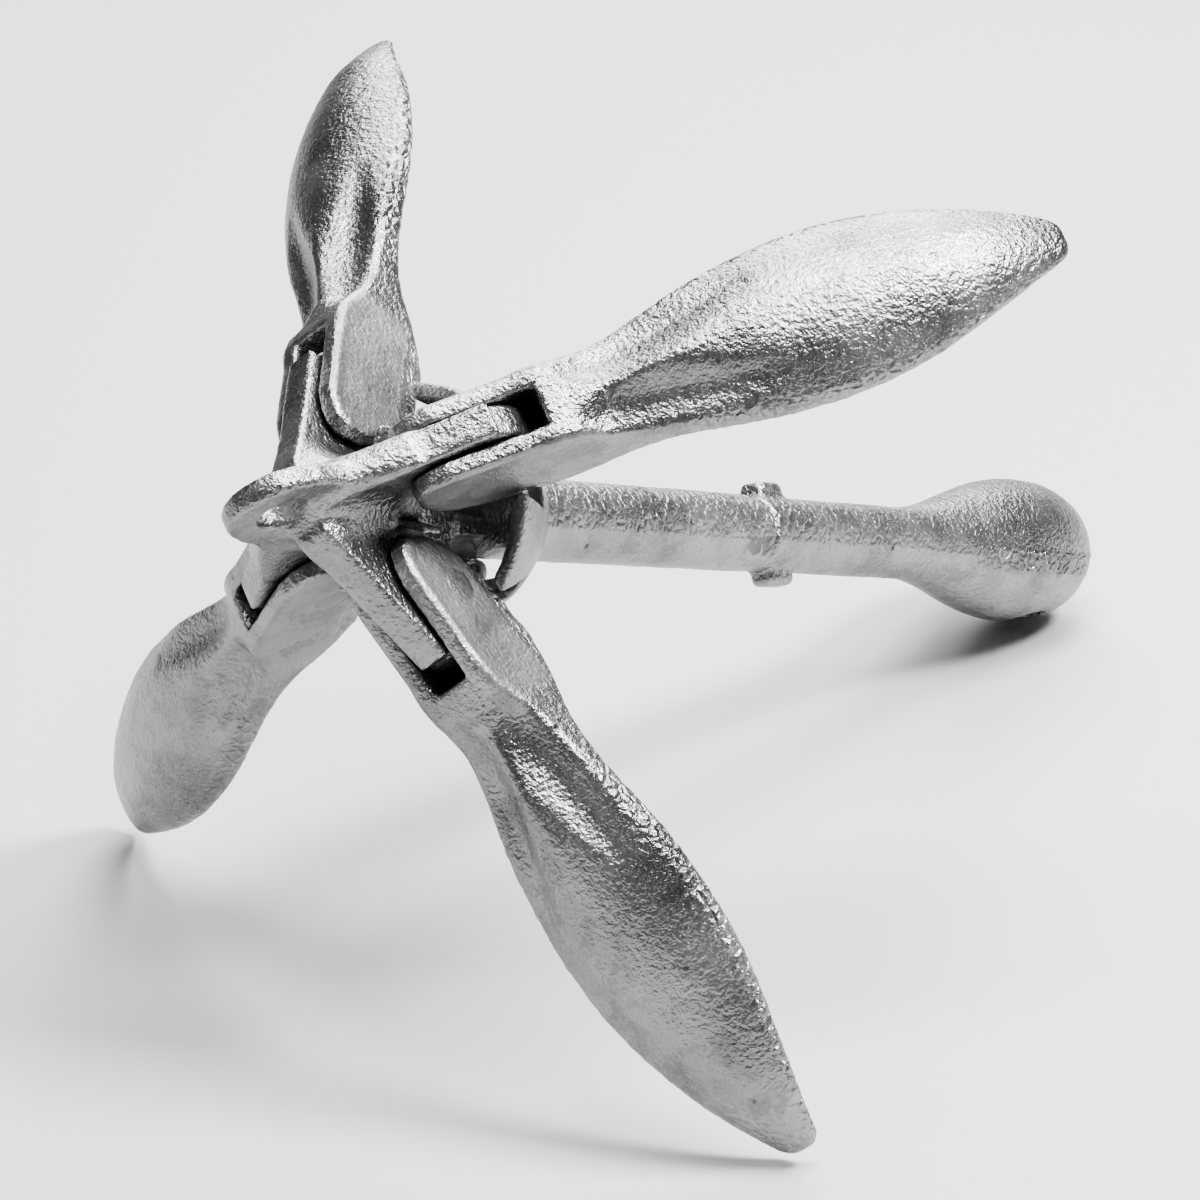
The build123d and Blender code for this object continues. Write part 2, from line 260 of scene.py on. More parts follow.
def anchor_place():
    """Place of the shank's drawing: +X towards pivot 1, +Z along the shank."""
    x_axis = (PIVOTS[0] - CROWN_CENTRE).normalized()
    return basis(CROWN_CENTRE, x_axis, SHANK_AXIS.cross(x_axis), SHANK_AXIS)


def fluke_place(number):
    """Place of a fluke's drawing at rest: +X along s, +Z along t."""
    outwards = (PIVOTS[number - 1] - CROWN_CENTRE).normalized()
    angle = radians(FOLDED_ANGLE - JOINTS[f"fluke_{number}_hinge"]["range_deg"][1])
    along = outwards * cos(angle) + SHANK_AXIS * sin(angle)
    square = SHANK_AXIS * cos(angle) - outwards * sin(angle)
    return basis(PIVOTS[number - 1], along, SHANK_AXIS.cross(outwards), square)


# ---------------------------------------------------------------- fields of distance


def grid(low, high, step):
    """Open coordinate arrays that span a box."""
    return [np.arange(a, b + step, step, dtype=np.float32).reshape([-1 if i == k else 1 for i in range(3)])
            for k, (a, b) in enumerate(zip(low, high))]


def join(a, b, fillet):
    """Union of two fields with a fillet between them."""
    blend = np.clip(0.5 + 0.5 * (b - a) / fillet, 0, 1)
    return b + (a - b) * blend - fillet * blend * (1 - blend)


def keep(a, b, rounding):
    """Intersection of two fields with a rounded edge."""
    return -join(-a, -b, rounding)


def cut(a, b, rounding):
    """Field a less field b, with a rounded edge."""
    return keep(a, -b, rounding)


def band(value, low, high):
    """Field of the slab between two values."""
    return np.maximum(low - value, value - high)


def bump(value, centre, width):
    """A smooth hump of height 1."""
    return np.exp(-((value - centre) / width) ** 2)


def ramp(value, start, end):
    """Smooth rise from 0 at start to 1 at end."""
    x = np.clip((value - start) / (end - start), 0, 1)
    return x * x * (3 - 2 * x)


def outline(points, u, v):
    """Signed distance from (u, v) to a closed outline, negative inside."""
    nearest = np.full(np.broadcast(u, v).shape, 1e9, np.float32)
    inside = np.zeros(nearest.shape, bool)
    for (ax, ay), (bx, by) in zip(points, points[1:] + points[:1]):
        dx, dy = bx - ax, by - ay
        along = np.clip(((u - ax) * dx + (v - ay) * dy) / (dx * dx + dy * dy), 0, 1)
        nearest = np.minimum(nearest, (u - ax - along * dx) ** 2 + (v - ay - along * dy) ** 2)
        if dy:
            inside ^= ((ay > v) != (by > v)) & (u < ax + (v - ay) / dy * dx)
    return np.where(inside, -1, 1) * np.sqrt(nearest)


def turned_to(azimuth, x, y):
    """Coordinates along and across the direction of an azimuth."""
    c, s = cos(radians(azimuth)), sin(radians(azimuth))
    return x * c + y * s, y * c - x * s


# ---------------------------------------------------------------- from field to mesh


def net(field, axes, step):
    """Vertices and quads of the surface where the field is zero, one vertex in each cell it passes."""
    inside = field < 0
    cells = np.array(field.shape) - 1
    total = np.zeros((int(cells.prod()), 3), np.float32)
    count = np.zeros(int(cells.prod()), np.int32)
    faces = []
    for axis in range(3):
        u, v = (axis + 1) % 3, (axis + 2) % 3
        first = np.take(inside, range(field.shape[axis] - 1), axis)
        last = np.take(inside, range(1, field.shape[axis]), axis)
        edges = np.array(np.nonzero(first != last))
        start = field[tuple(edges)]
        ahead = edges.copy()
        ahead[axis] += 1
        point = edges.astype(np.float32)
        point[axis] += start / (start - field[tuple(ahead)])
        ring = []
        for du, dv in ((-1, -1), (0, -1), (0, 0), (-1, 0)):
            cell = edges.copy()
            cell[u] += du
            cell[v] += dv
            index = (cell[0] * cells[1] + cell[1]) * cells[2] + cell[2]
            for k in range(3):
                total[:, k] += np.bincount(index, point[k], len(total)).astype(np.float32)
            count += np.bincount(index, minlength=len(count)).astype(np.int32)
            ring.append(index)
        ring = np.array(ring).T
        ring[inside[tuple(ahead)]] = ring[inside[tuple(ahead)]][:, ::-1]
        faces.append(ring)
    used = np.nonzero(count)[0]
    number = np.zeros(len(count), np.int32)
    number[used] = np.arange(len(used))
    low = np.array([a.ravel()[0] for a in axes], np.float32)
    points = total[used] / count[used][:, None] * step + low
    return points, number[np.concatenate(faces)]


def gathered(index, vectors, count):
    """Sum of the vectors that share an index, for each index."""
    return np.stack([np.bincount(index, vectors[:, k], count) for k in range(3)], 1)


def relax(points, faces, rounds):
    """Evens the net out without shrinking it: each round smooths, then pushes back."""
    ends = np.concatenate([faces, np.roll(faces, 1, axis=1)]).reshape(-1)
    others = np.concatenate([np.roll(faces, 1, axis=1), faces]).reshape(-1)
    degree = np.bincount(ends, minlength=len(points))[:, None]
    for _ in range(rounds):
        for weight in (SMOOTHING, PUSH_BACK):
            mean = gathered(ends, points[others], len(points)) / degree
            points = points + weight * (mean - points)
    return points


def vertex_normals(points, faces):
    """Unit normals of a net."""
    a, b, c, d = (points[faces[:, k]] for k in range(4))
    face = np.cross(c - a, d - b)
    normals = gathered(faces.ravel(), np.repeat(face, 4, axis=0), len(points))
    return normals / np.maximum(np.linalg.norm(normals, axis=1, keepdims=True), 1e-9)


def lumps(points, size, seed):
    """Smooth random relief, about -1 to 1, with features of that size."""
    shift = Vector([seed * amount for amount in SEED_SHIFT])
    return np.array([noise.noise(Vector(p) / size + shift) for p in points.tolist()])


def hollowness(points, faces, normals, step):
    """How far each vertex lies under its neighbours, in grid steps: negative where it stands out."""
    corners = np.bincount(faces.ravel(), minlength=len(points))[:, None]
    mean = gathered(faces.ravel(), points[np.roll(faces, 1, axis=1).ravel()], len(points)) / corners
    return np.einsum("ij,ij->i", mean - points, normals) / step


def casting(name, field, axes, step, place, body, nodes, slot, seed, relief=RELIEF, wrinkles=None,
            fettled=None, scars=None, bend=(0.0, 0.0)):
    """Nets a field, roughens it like sand-cast iron, and puts it on its body in place of the CAD nodes."""
    points, faces = net(field, axes, step)
    points = relax(points, faces, 2)
    normals = vertex_normals(points, faces)
    rough = np.zeros(len(points)) if wrinkles is None else wrinkles(points)
    ground = np.zeros(len(points)) if fettled is None else fettled(points)
    scar = np.zeros(len(points)) if scars is None else scars(points)
    scar = scar * ramp(lumps(points, SCAR_SIZE, seed + 3), *SCAR_PATCHES)
    cast = SWELL_SHARE * lumps(points, SWELL_SIZE, seed) + GRAIN_SHARE * lumps(points, GRAIN_SIZE, seed + 1)
    height = relief * (1 - FETTLING * ground) * cast
    height += rough * WRINKLE_HEIGHT * np.abs(lumps(points, WRINKLE_SIZE, seed + 2))
    height -= SCAR_DEPTH * scar
    # Painted shade: the deeper a vertex lies in a hollow, the darker its zinc is painted. The torn zinc and
    # the seam are added in as real dark marks, and where the surface stands out it comes out lighter.
    shade_and_scars = np.clip(hollowness(points, faces, normals, step) * HOLLOW_GAIN + scar, -1, 1)
    points = points + normals * height[:, None]
    points[:, 1:] += ramp(points[:, :1], *TIP_BEND_S) / ramp(FLUKE_LENGTH, *TIP_BEND_S) * np.array(bend)
    mesh = bpy.data.meshes.new(name)
    mesh.from_pydata(points.tolist(), [], faces.tolist())
    mesh.transform(place)
    mesh.shade_smooth()
    # One of these attributes carries the painted shade of the hollows, together with the scars.
    for label, values in (("wrinkle", rough), ("shade_and_scars", shade_and_scars), ("ground", ground)):
        mesh.attributes.new(label, "FLOAT", "POINT").data.foreach_set("value", values.astype(np.float32))
    piece = bpy.data.objects.new(name, mesh)
    bpy.context.scene.collection.objects.link(piece)
    mesh.materials.append(galvanised(name, seed))
    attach(piece, body)
    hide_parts(*nodes)
    return piece


# ---------------------------------------------------------------- zinc


def galvanised(name, seed):
    """Hot-dip zinc on a sand casting: pebbled grain, spangle, pits, painted shade darkening the hollows and
    the scars, and lighter grey on edges that stand out.
    """
    material = bpy.data.materials.new(name + "_zinc")
    material.use_nodes = True
    nodes, links = material.node_tree.nodes, material.node_tree.links
    nodes.clear()

    def add(kind, **values):
        node = nodes.new(kind)
        for key, value in values.items():
            if isinstance(key, str) and hasattr(node, key):
                setattr(node, key, value)
            else:
                node.inputs[key.replace("_", " ")].default_value = value
        return node

    def math(kind, a, b):
        node = nodes.new("ShaderNodeMath")
        node.operation = kind
        for socket, value in zip(node.inputs, (a, b)):
            if isinstance(value, (int, float)):
                socket.default_value = value
            else:
                links.new(value, socket)
        return node.outputs[0]

    def spread(value, low, high, new_low, new_high):
        node = add("ShaderNodeMapRange", From_Min=low, From_Max=high, To_Min=new_low, To_Max=new_high)
        links.new(value, node.inputs["Value"])
        return node.outputs[0]

    def tint(factor, a, b):
        node = nodes.new("ShaderNodeMix")
        node.data_type = "RGBA"
        links.new(factor, node.inputs["Factor"])
        for socket, value in ((node.inputs[6], a), (node.inputs[7], b)):
            if isinstance(value, tuple):
                socket.default_value = value
            else:
                links.new(value, socket)
        return node.outputs[2]

    where = nodes.new("ShaderNodeTexCoord")
    move = nodes.new("ShaderNodeMapping")
    move.inputs["Location"].default_value = (seed * 0.31, seed * 0.17, seed * 0.23)
    links.new(where.outputs["Object"], move.inputs["Vector"])

    def grain(scale, detail, roughness=0.55):
        node = add("ShaderNodeTexNoise", Scale=scale, Detail=detail, Roughness=roughness)
        links.new(move.outputs[0], node.inputs["Vector"])
        return node.outputs["Fac"]

    def spots(scale, feature="F1"):
        node = add("ShaderNodeTexVoronoi", feature=feature, Scale=scale)
        links.new(move.outputs[0], node.inputs["Vector"])
        return node

    wrinkle = add("ShaderNodeAttribute", attribute_name="wrinkle").outputs["Fac"]
    # Painted shade of the hollows together with the scars, read from the mesh.
    shade_and_scars = add("ShaderNodeAttribute", attribute_name="shade_and_scars").outputs["Fac"]
    ground = add("ShaderNodeAttribute", attribute_name="ground").outputs["Fac"]
    pebble = grain(780, 2)
    fine = grain(1500, 3)
    cloud = grain(34, 3)
    patch = grain(120, 4)
    creases = spots(330, "DISTANCE_TO_EDGE").outputs["Distance"]
    spangle = spots(190).outputs["Color"]
    pit_field = spots(105).outputs["Distance"]
    pits = math("MULTIPLY", spread(pit_field, 0.10, 0.02, 0.0, 1.0), spread(patch, 0.52, 0.60, 0.0, 1.0))

    height = math("ADD", math("MULTIPLY", pebble, 1.0), math("MULTIPLY", fine, 0.30))
    rough_height = math("MULTIPLY", math("MULTIPLY", spread(creases, 0.0, 0.25, 0.0, 1.0), wrinkle), 1.1)
    height = math("MULTIPLY", height, spread(ground, 0.0, 1.0, 1.0, 0.55))
    height = math("SUBTRACT", math("ADD", height, rough_height), math("MULTIPLY", pits, 0.9))
    bump_node = add("ShaderNodeBump", Strength=1.0, Distance=BUMP_DISTANCE)
    links.new(height, bump_node.inputs["Height"])

    grey = tint(spread(cloud, 0.35, 0.65, 0.0, 1.0), ZINC_DARK, ZINC_LIGHT)
    flake = math("MULTIPLY", spread(spangle, 0.0, 1.0, 0.0, 1.0), 0.25)
    grey = tint(flake, grey, ZINC_FLAKE)
    speck = spread(math("SUBTRACT", patch, math("MULTIPLY", pebble, 0.35)), 0.36, 0.44, 0.0, 0.35)
    grey = tint(speck, grey, ZINC_SPECK)
    # Painted shade: the hollows, with the scars and the seam, are darkened by concavity, and edges that
    # stand out are made lighter.
    grey = tint(spread(shade_and_scars, 0.05, 0.6, 0.0, 0.55), grey, ZINC_PAINTED_SHADE)
    grey = tint(spread(shade_and_scars, -0.1, -0.7, 0.0, 0.45), grey, ZINC_ON_EDGES)
    grey = tint(math("MULTIPLY", pits, 0.9), grey, ZINC_IN_PITS)

    dull = math("ADD", spread(cloud, 0.3, 0.7, 0.26, 0.38), spread(fine, 0.3, 0.7, -0.05, 0.07))
    shader = add("ShaderNodeBsdfPrincipled", Metallic=0.92)
    links.new(grey, shader.inputs["Base Color"])
    dull = math("ADD", dull, math("MULTIPLY", ground, 0.14))
    links.new(dull, shader.inputs["Roughness"])
    links.new(bump_node.outputs[0], shader.inputs["Normal"])
    output = nodes.new("ShaderNodeOutputMaterial")
    links.new(shader.outputs[0], output.inputs["Surface"])
    return material


# ---------------------------------------------------------------- crown with the lower shank


def arm_pair(along, across, z):
    """Two opposite arms: flat crown faces, rounded ends, a bore for each rivet."""
    reach = np.abs(along)
    corners = [
        (PAST_AXIS, ARM_FOOT[1]),
        ARM_FOOT,
        ARM_FACE_INNER,
        ARM_CORNER,
        (PIVOT_RADIUS, 0.0),
        (PIVOT_RADIUS, ARM_ROOT_Z),
        (PAST_AXIS, ARM_ROOT_Z),
    ]
    from_pivot = np.hypot(reach - PIVOT_RADIUS, z)
    profile = join(outline(corners, reach, z), from_pivot - ARM_END_RADIUS, fillet=1.0)
    face_z = ARM_FACE_MIDDLE[1] + ARM_FACE_SLOPE * (reach - ARM_FACE_MIDDLE[0])
    swell = ARM_EDGE_SWELL * bump(z, face_z, ARM_EDGE_SWELL_WIDTH)
    plate = keep(profile, np.abs(across) - ARM_HALF_THICKNESS - swell, rounding=1.3)
    return cut(plate, from_pivot - RIVET_RADIUS - RUNNING_GAP, rounding=0.3)


def eye_plate(along, across, z):
    """Plate of the trip-line eye, which flows out into the crown faces of two arms."""
    root_z = EYE_PLATE_SIDE[-1][1]
    foot = outline([(PAST_AXIS, EYE_Z), *EYE_PLATE_SIDE, (PAST_AXIS, root_z)], np.abs(along), z)
    from_eye = np.hypot(along, z - EYE_Z)
    side = join(from_eye - EYE_PLATE_RADIUS, foot, fillet=3.0)
    plate = keep(side, np.abs(across) - EYE_PLATE_HALF_THICKNESS, rounding=1.8)
    return cut(plate, from_eye - TRIP_EYE_RADIUS, rounding=0.9)


def joint_groove(z):
    """The seam where the two castings of the shank meet."""
    return JOINT_GROOVE_DEPTH * bump(z, SHANK_JOINT_Z, JOINT_GROOVE_WIDTH)


def bar(along, across, z, reach, half_width, levels):
    """Field of a bar from the shank axis outwards."""
    return np.maximum(np.maximum(band(along, 0, reach), np.abs(across) - half_width), band(z, *levels))


def crown_field():
    """The whole crown casting up to the joint in the shank."""
    x, y, z = axes = grid((-43, -43, -54), (43, 43, 149), STEP)
    radius = np.hypot(x, y)
    field = keep(radius - HUB_RADIUS, band(z, *HUB_Z), rounding=6.0)
    field = join(field, arm_pair(x, y, z), fillet=4.5)
    field = join(field, arm_pair(y, x, z), fillet=4.5)
    field = join(field, eye_plate(y, x, z), fillet=4.0)
    for azimuth in NIB_AZIMUTHS:
        nib = bar(*turned_to(azimuth, x, y), z, NIB_REACH, NIB_HALF_THICKNESS, NIB_Z)
        field = join(field, nib, fillet=1.6)
    for azimuth in BOSS_AZIMUTHS:
        boss = bar(*turned_to(azimuth, x, y), z, BOSS_REACH, BOSS_HALF_WIDTH, BOSS_Z)
        field = join(field, boss, fillet=1.8)
    _, across = turned_to(PARTING_AZIMUTH, x, y)
    flash = FLASH_HEIGHT * bump(across, 0, FLASH_WIDTH)
    shank = radius - LOWER_SHANK_RADIUS - flash + joint_groove(z)
    shank = keep(shank, band(z, 0, SHANK_JOINT_Z + JOINT_LAP), rounding=1.3)
    return join(field, shank, fillet=3.0), axes


def shank_scars(points):
    """Torn zinc beside the seam of the shank, and the seam itself."""
    along, across = turned_to(PARTING_AZIMUTH, points[:, 0], points[:, 1])
    torn = ramp(points[:, 2], *SCAR_Z) * ramp(np.abs(across - SCAR_MIDDLE), *SCAR_EDGE) * (along > 0)
    return np.maximum(torn, bump(points[:, 2], SHANK_JOINT_Z, JOINT_GROOVE_WIDTH))


def shank_wrinkles(points):
    """Thick zinc on one side of the shank, between the parting line and the top of the casting."""
    _, across = turned_to(PARTING_AZIMUTH, points[:, 0], points[:, 1])
    on_shank = ramp(points[:, 2], *SHANK_WRINKLE_Z)
    return on_shank * ramp(across, *ACROSS_PARTING) * SHANK_WRINKLE


# ---------------------------------------------------------------- head with the upper shank


def head_radius(z):
    """Radius of the round head and its long neck."""
    neck = UPPER_SHANK_RADIUS + (HEAD_RADIUS - UPPER_SHANK_RADIUS) * ramp(z, NECK_START_Z, HEAD_WIDEST_Z)
    end = np.clip((z - HEAD_WIDEST_Z) / (HEAD_END_Z - HEAD_WIDEST_Z), 0, 1)
    flat, round_off = HEAD_END_CURVE
    return neck * (1 - end ** flat) ** (1 / round_off)


def head_field():
    """Upper shank, lugs and round head with the rode eye."""
    x, y, z = axes = grid((-22, -22, 145), (22, 22, 315), STEP)
    radius = np.hypot(x, y)
    along, across = turned_to(PARTING_AZIMUTH, x, y)
    on_head = ramp(z, *STRIP_START_Z)
    flash = HEAD_FLASH_HEIGHT * bump(across, 0, HEAD_FLASH_WIDTH) * (1 - on_head)
    ribs = bump(across, STRIP_HALF_WIDTH, STRIP_RIB_WIDTH) + bump(across, -STRIP_HALF_WIDTH, STRIP_RIB_WIDTH)
    strip = STRIP_RIB_HEIGHT * ribs * on_head * (along > 0)
    side = radius - head_radius(z) - flash - strip + joint_groove(z)
    field = keep(side, band(z, SHANK_JOINT_Z, HEAD_END_Z), rounding=1.0)
    for azimuth in (LUG_AZIMUTH, LUG_AZIMUTH + 180):
        out, side = turned_to(azimuth, x, y)
        lug = keep(band(out, 0, LUG_REACH), np.abs(side) - LUG_HALF_WIDTH, rounding=2.0)
        field = join(field, keep(lug, band(z, *LUG_Z), rounding=2.0), fillet=1.6)
    _, side = turned_to(LUG_AZIMUTH, x, y)
    eye = np.hypot(side, z - RODE_EYE_Z) - RODE_EYE_RADIUS
    return cut(field, eye, rounding=3.0), axes


def head_wrinkles(points):
    """Bright wrinkled zinc in the strip along the parting plane, and a little all over the shank."""
    along, across = turned_to(PARTING_AZIMUTH, points[:, 0], points[:, 1])
    strip = ramp(points[:, 2], *HEAD_STRIP_Z) * ramp(np.abs(across), *HEAD_STRIP_ACROSS) * (along > 0)
    shank = ramp(points[:, 2], *HEAD_WRINKLE_Z) * ramp(across, *ACROSS_PARTING) * HEAD_WRINKLE
    return np.maximum(strip, shank)


# ---------------------------------------------------------------- locking collar


def bell_radius(z):
    """Outside radius of the collar's bell."""
    rise = z - COLLAR_Z[0]
    return COLLAR_MOUTH_RADIUS - BELL_LEAN * rise - BELL_CURVE * rise * (z - BELL_SHOULDER_Z)


def collar_field():
    """Bell with a notch over each fluke and two keyways that pass the lugs."""
    x, y, z = axes = grid((-31, -31, 8), (31, 31, 43), COLLAR_STEP)
    radius = np.hypot(x, y)
    outside = (radius - bell_radius(z)) * BELL_SLANT
    inside = np.maximum(bell_radius(z) - COLLAR_WALL, COLLAR_BORE_RADIUS)
    wall = keep(outside, inside - radius, rounding=1.2)
    field = keep(wall, band(z, *COLLAR_Z), rounding=2.0)
    for along, across in ((x, y), (y, x)):
        notch = np.maximum(np.abs(across) - NOTCH_HALF_WIDTH, z - NOTCH_TOP_Z)
        field = cut(field, np.maximum(notch, NOTCH_INNER_RADIUS - np.abs(along)), rounding=1.8)
    for azimuth in (LUG_AZIMUTH, LUG_AZIMUTH + 180):
        out, side = turned_to(azimuth, x, y)
        keyway = np.maximum(band(out, 0, KEYWAY_REACH), np.abs(side) - KEYWAY_HALF_WIDTH)
        field = cut(field, keyway, rounding=1.0)
    return field, axes


# ---------------------------------------------------------------- flukes

# Stations of the blade: s, half width, t of the rim, depth of the rim's edge, depth of the belly, dish.
BLADE_STATIONS = np.array([
    (17, 8.6, 12.4, 25.2, 25.2, 0.2),
    (26, 10.3, 9.6, 19.5, 21.6, 0.6),
    (33, 11.4, 5.4, 14.0, 17.2, 1.0),
    (39, 12.6, 1.6, 10.5, 14.2, 1.4),
    (46, 14.2, -0.9, 8.4, 13.4, 2.4),
    (54, 16.2, -2.6, 7.0, 13.2, 3.4),
    (62, 18.0, -3.5, 6.0, 13.3, 4.2),
    (70, 19.4, -4.2, 5.2, 13.2, 4.6),
    (80, 20.3, -5.0, 4.9, 12.8, 4.8),
    (88, 20.4, -5.6, 4.6, 12.3, 4.8),
    (97, 19.8, -6.2, 4.3, 11.5, 4.5),
    (106, 18.2, -6.6, 4.0, 10.5, 4.0),
    (115, 15.8, -6.8, 3.8, 9.3, 3.4),
    (124, 12.9, -6.6, 3.6, 7.9, 2.6),
    (132, 10.1, -5.6, 3.2, 6.1, 1.8),
    (138, 7.8, -4.2, 2.9, 4.9, 1.2),
    (143, 5.8, -2.6, 2.6, 3.9, 0.7),
    (148, 3.4, -0.8, 2.2, 2.9, 0.3),
])
HALF_WIDTH, RIM_T, RIM, BELLY, DISH = range(1, 6)


def along_blade(measure, s):
    """Reads one of the blade's measures at every s, on a smooth curve through the stations."""
    ends, values = BLADE_STATIONS[:, 0], BLADE_STATIONS[:, measure]
    return sum(np.interp(s + shift, ends, values) for shift in (-3, -1, 1, 3)).astype(np.float32) / 4


def blade(s, y, t):
    """Spoon-shaped blade: dished towards the shank, with a ridge on its crown side near the fork."""
    half_width = along_blade(HALF_WIDTH, s)
    rim_t = along_blade(RIM_T, s)
    rim = along_blade(RIM, s)
    out = np.clip(np.abs(y) / half_width, 0, PAST_RIM)
    dish = along_blade(DISH, s) * np.clip(1 - out ** 2, 0, 1)
    swell = np.clip(1 - out ** SWELL_POWER, 0, 1)
    belly = np.maximum(rim + (along_blade(BELLY, s) - rim) * swell, dish + EDGE_THICKNESS)
    ridge = RIDGE_HEIGHT * bump(s, RIDGE_S, RIDGE_LENGTH) * bump(y, 0, RIDGE_WIDTH)
    top = t - (rim_t - dish)
    bottom = rim_t - belly - ridge - t
    side = np.abs(y) - half_width
    field = keep(keep(top, bottom * BELLY_SLANT, rounding=1.8), side * SIDE_SLANT, rounding=2.4)
    return keep(field, band(s, BLADE_START_S, FLUKE_LENGTH + BLADE_END_GAP), rounding=4.5)


def neck_hollow(s, y, t):
    """Teardrop on each side of the ridge, where the fork runs out into the blade."""
    along = np.clip((s - HOLLOW_S[0]) / (HOLLOW_S[1] - HOLLOW_S[0]), 0, 1)
    middle_s, middle_y, middle_t = (a + along * (b - a) for a, b in (HOLLOW_S, HOLLOW_Y, HOLLOW_T))
    girth = HOLLOW_GIRTH + HOLLOW_SWELL * np.sin(pi * along ** HOLLOW_SKEW)
    return np.sqrt((s - middle_s) ** 2 + (np.abs(y) - middle_y) ** 2 + (t - middle_t) ** 2) - girth


def fork(s, y, t):
    """Two ears with a slot between them; the slot is closed by a web on the side of the shank."""
    lean = EAR_LEAN * ramp(t, *EAR_LEAN_T)
    edge = EAR_EDGE_SWELL * bump(t, EAR_EDGE_T, EAR_EDGE_WIDTH)
    ears = keep(outline(FORK_SIDE, s, t), np.abs(y) - FORK_HALF_WIDTH + lean - edge, rounding=1.9)
    slot = np.minimum(s - WEB_START_S, np.maximum(s - SLOT_END_S, t))
    slot = np.minimum(slot, np.hypot(s, t) - WEB_BORE_RADIUS)
    return ears, np.maximum(slot, np.abs(y) - SLOT_HALF_WIDTH)


def fluke_field():
    """One fluke with its rivet hole."""
    s, y, t = axes = grid((-18, -22.5, -25), (149, 22.5, 16), STEP)
    ears, slot = fork(s, y, t)
    field = keep(join(ears, blade(s, y, t), fillet=3.0), t - FORK_SHANK_T, rounding=0.8)
    field = cut(field, neck_hollow(s, y, t), rounding=4.0)
    field = cut(field, slot, rounding=1.2)
    hole = np.maximum(np.hypot(s, t) - RIVET_HOLE_RADIUS, np.abs(y) - RIVET_SKIN_Y)
    return cut(field, hole, rounding=0.1), axes


def rivet_field():
    """Rivet hammered over flush with both ears."""
    x, y, z = axes = grid((-7, -10.5, -7), (7, 10.5, 7), RIVET_STEP)
    from_axis = np.hypot(x, z)
    dome = FORK_HALF_WIDTH + RIVET_PROUD - RIVET_DOME * from_axis ** 2
    return keep(from_axis - RIVET_RADIUS, np.abs(y) - dome, rounding=0.3), axes


def fettled_ears(points):
    """The ears' flat faces, dressed smooth up to the bevel along their shank side."""
    s, y, t = points.T
    return ramp(np.abs(y), *DRESSED_Y) * ramp(t, *DRESSED_T) * ramp(s, *DRESSED_S)


def all_over(points):
    """The whole of a piece."""
    return np.ones(len(points))


def blade_wrinkles(points):
    """Flash and thick zinc along the rims of the blade and round its neck."""
    s, y, t = points.T
    rim = ramp(np.abs(y) / along_blade(HALF_WIDTH, s), *BLADE_RIM_OUT) * ramp(s, *BLADE_RIM_S)
    fork_top = ramp(t, *FORK_TOP_T) * ramp(s, *FORK_TOP_S)
    return np.maximum(BLADE_RIM_WRINKLE * rim, FORK_TOP_WRINKLE * fork_top)


# ---------------------------------------------------------------- assembly


def build_anchor():
    """All the castings, each riding on its CAD body."""
    place = anchor_place()
    zinc = "galvanised_casting"
    field, axes = crown_field()
    casting("crown", field, axes, STEP, place, "crown_and_shank", ["crown_casting"], zinc, 1,
            wrinkles=shank_wrinkles, scars=shank_scars)
    field, axes = head_field()
    casting("head", field, axes, STEP, place, "crown_and_shank", ["head_casting"], zinc, 2,
            wrinkles=head_wrinkles)
    field, axes = collar_field()
    casting("collar", field, axes, COLLAR_STEP, place, "collar", ["locking_collar"], zinc, 3)
    blade_parts = fluke_field()
    rivet_parts = rivet_field()
    for number in range(1, 5):
        body = f"fluke_{number}"
        spot = fluke_place(number)
        casting(f"blade_{number}", *blade_parts, STEP, spot, body, [f"fluke_{number}"], zinc, 10 + number,
                wrinkles=blade_wrinkles, fettled=fettled_ears, bend=TIP_BEND[number - 1])
        casting(f"rivet_{number}", *rivet_parts, RIVET_STEP, spot, body, [f"pivot_rivet_{number}"],
                "galvanised_rivet", 20 + number, relief=RIVET_RELIEF, fettled=all_over)


# ---------------------------------------------------------------- stage


def plain(name, colour, roughness):
    """A plain matt material for the stage."""
    material = bpy.data.materials.new(name)
    material.use_nodes = True
    shader = material.node_tree.nodes["Principled BSDF"]
    shader.inputs["Base Color"].default_value = colour
    shader.inputs["Roughness"].default_value = roughness
    return material


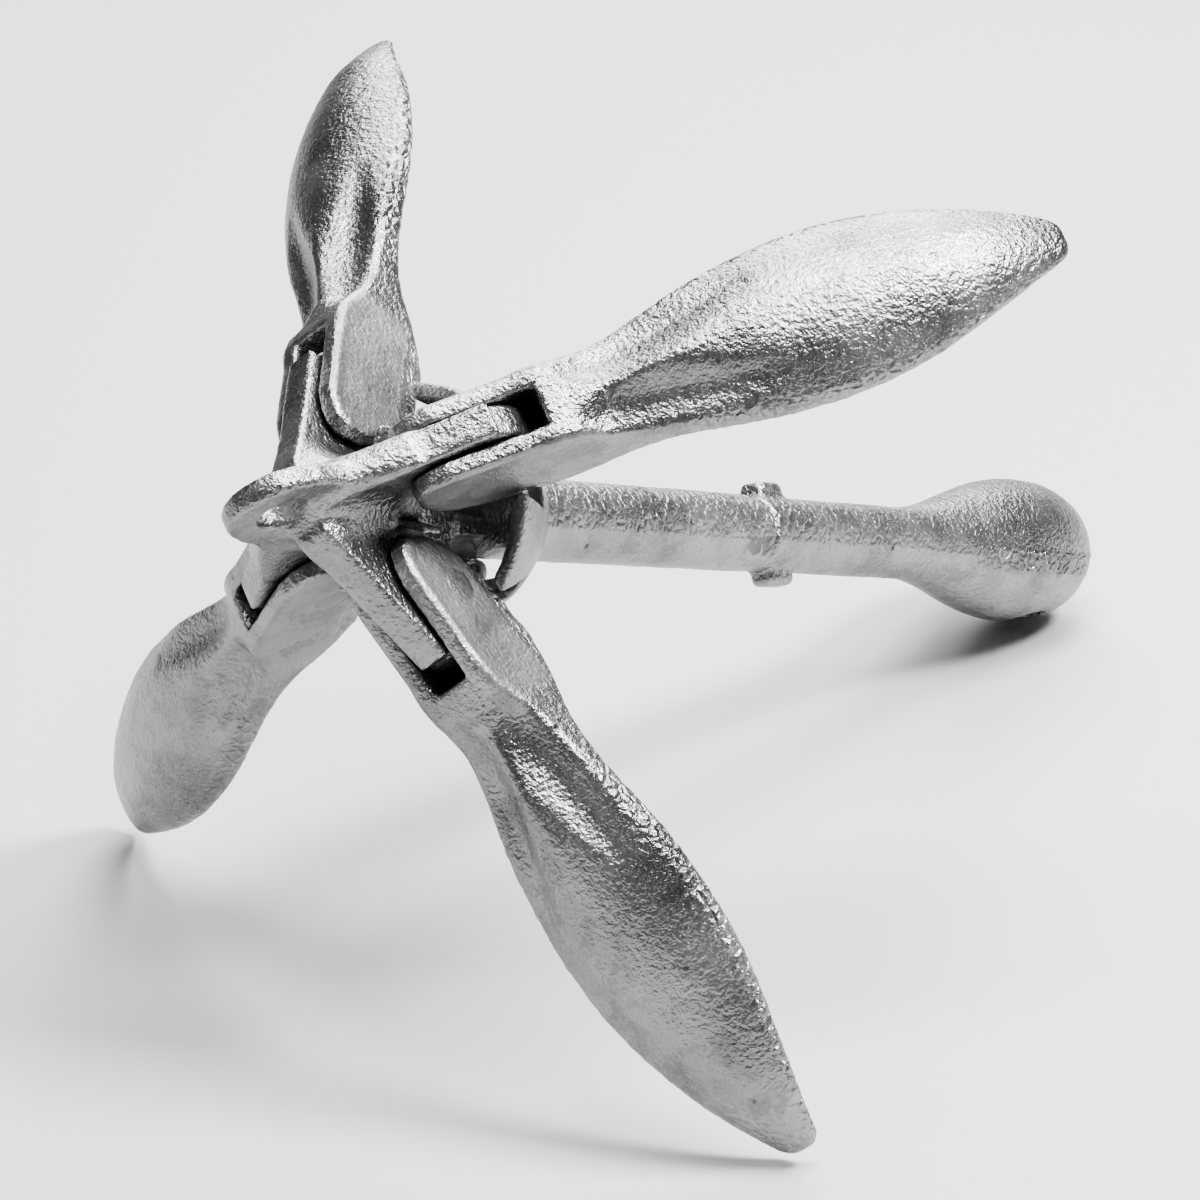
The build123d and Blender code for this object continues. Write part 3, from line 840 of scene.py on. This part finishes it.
def add_floor():
    """Plain pale floor under the anchor."""
    mesh = bpy.data.meshes.new("floor")
    corners = [(x * FLOOR_HALF, y * FLOOR_HALF, 0) for x, y in ((-1, -1), (1, -1), (1, 1), (-1, 1))]
    mesh.from_pydata(corners, [], [(0, 1, 2, 3)])
    floor = bpy.data.objects.new("floor", mesh)
    bpy.context.scene.collection.objects.link(floor)
    mesh.materials.append(plain("floor_white", FLOOR_GREY, FLOOR_ROUGHNESS))


def look_direction(azimuth, elevation):
    """Direction of a look from that side: azimuth 0 looks along +Y, and elevation looks down."""
    a, e = radians(azimuth), radians(elevation)
    return Vector((-sin(a) * cos(e), cos(a) * cos(e), -sin(e)))


def add_light(name, azimuth, elevation, distance, size, power):
    """A soft rectangular light that shines on the anchor from behind a viewer at that angle."""
    lamp = bpy.data.lights.new(name, "AREA")
    lamp.shape = "RECTANGLE"
    lamp.size, lamp.size_y = size
    lamp.energy = power
    light = bpy.data.objects.new(name, lamp)
    look = look_direction(azimuth, elevation)
    light.location = Vector(LIGHT_AIM) - look * distance
    light.rotation_euler = look.to_track_quat("-Z", "Y").to_euler()
    bpy.context.scene.collection.objects.link(light)


def add_camera():
    """Camera at the photograph's angle."""
    data = bpy.data.cameras.new("camera")
    data.lens = CAMERA_LENS
    camera = bpy.data.objects.new("camera", data)
    look = look_direction(CAMERA_AZIMUTH, CAMERA_ELEVATION)
    camera.location = Vector(CAMERA_AIM) - look * CAMERA_DISTANCE
    camera.rotation_euler = look.to_track_quat("-Z", "Y").to_euler()
    bpy.context.scene.collection.objects.link(camera)
    bpy.context.scene.camera = camera


def add_world():
    """Even grey surroundings."""
    world = bpy.data.worlds.new("studio")
    world.use_nodes = True
    background = world.node_tree.nodes["Background"]
    background.inputs["Color"].default_value = WORLD_GREY
    background.inputs["Strength"].default_value = WORLD_STRENGTH
    scene = bpy.context.scene
    scene.world = world
    scene.view_settings.view_transform = "AgX"
    scene.view_settings.look = "AgX - High Contrast"


add_camera()
build_anchor()
add_floor()
add_world()
add_light("key", 25.0, 55.0, 1.3, (0.4, 0.3), 18.0)
add_light("top", -40.0, 84.0, 1.3, (0.8, 0.5), 17.0)
add_light("fill", -115.0, 35.0, 1.6, (0.25, 0.6), 1.2)
add_light("back", 125.0, 38.0, 1.6, (1.4, 0.6), 26.0)
